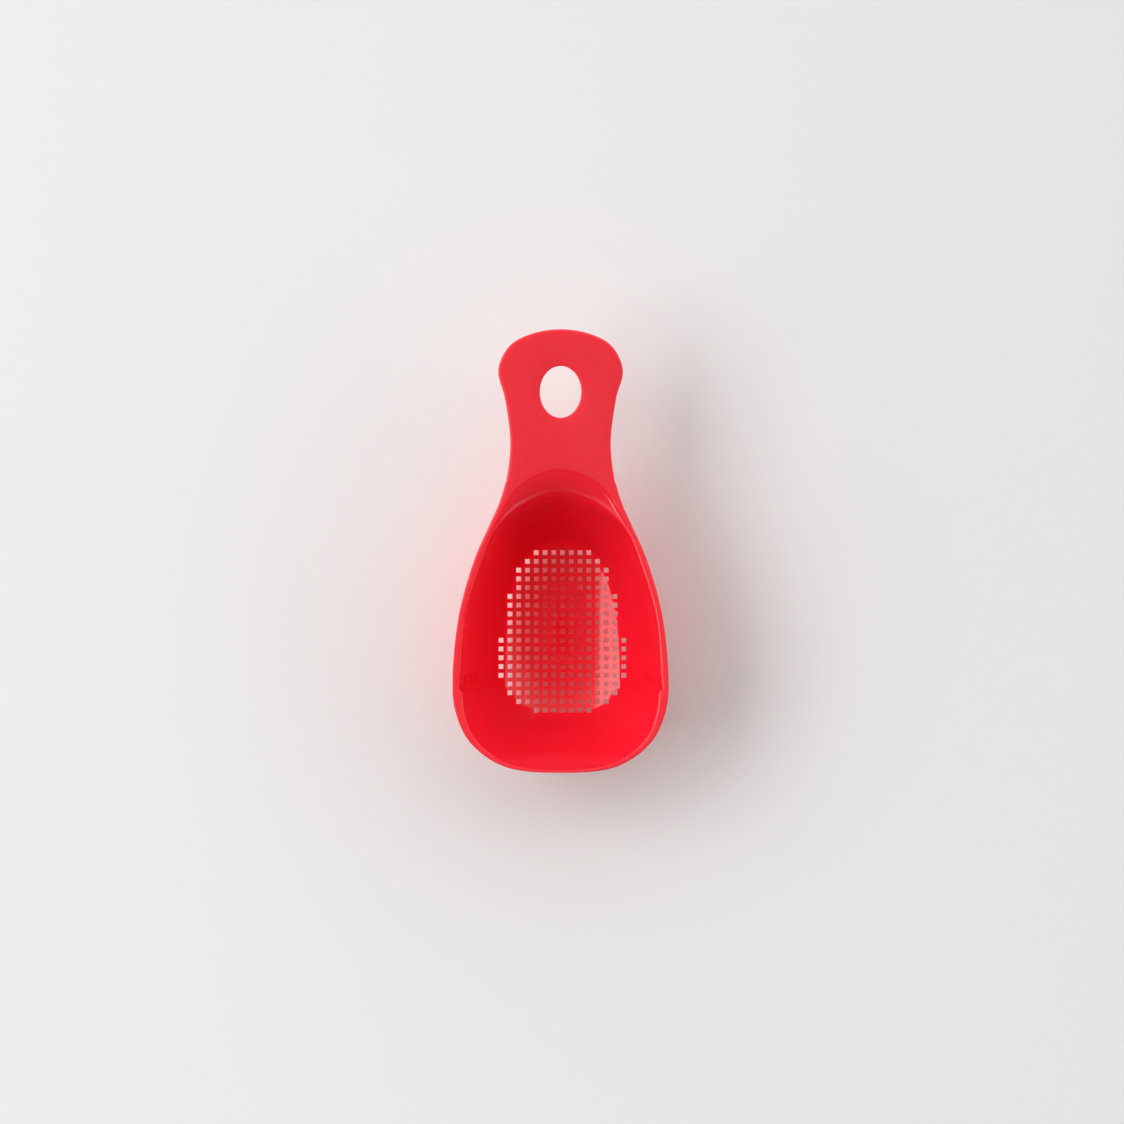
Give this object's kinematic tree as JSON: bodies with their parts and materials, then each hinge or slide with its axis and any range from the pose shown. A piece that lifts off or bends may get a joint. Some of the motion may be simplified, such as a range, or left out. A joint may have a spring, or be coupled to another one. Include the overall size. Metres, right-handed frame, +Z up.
{
  "type": "draining scoop",
  "caption": "Deep egg-shaped kitchen scoop in plastic, with a grid of square drain holes in its dished floor and a flat handle with an oval hanging hole.",
  "frame": {"origin": "centre of the footprint, in the plane of the flat land that the scoop stands on", "axes": "+Y along the handle, away from the bowl; +Z up, out of the bowl's mouth; +X across the scoop, its plane of symmetry at X = 0"},
  "size_m": [0.0726, 0.1488, 0.04],
  "materials": {
    "red_plastic": "gloss inside the bowl, satin on the handle and rim"
  },
  "bodies": {
    "root": {"scoop": "red_plastic"}
  },
  "joints": []
}
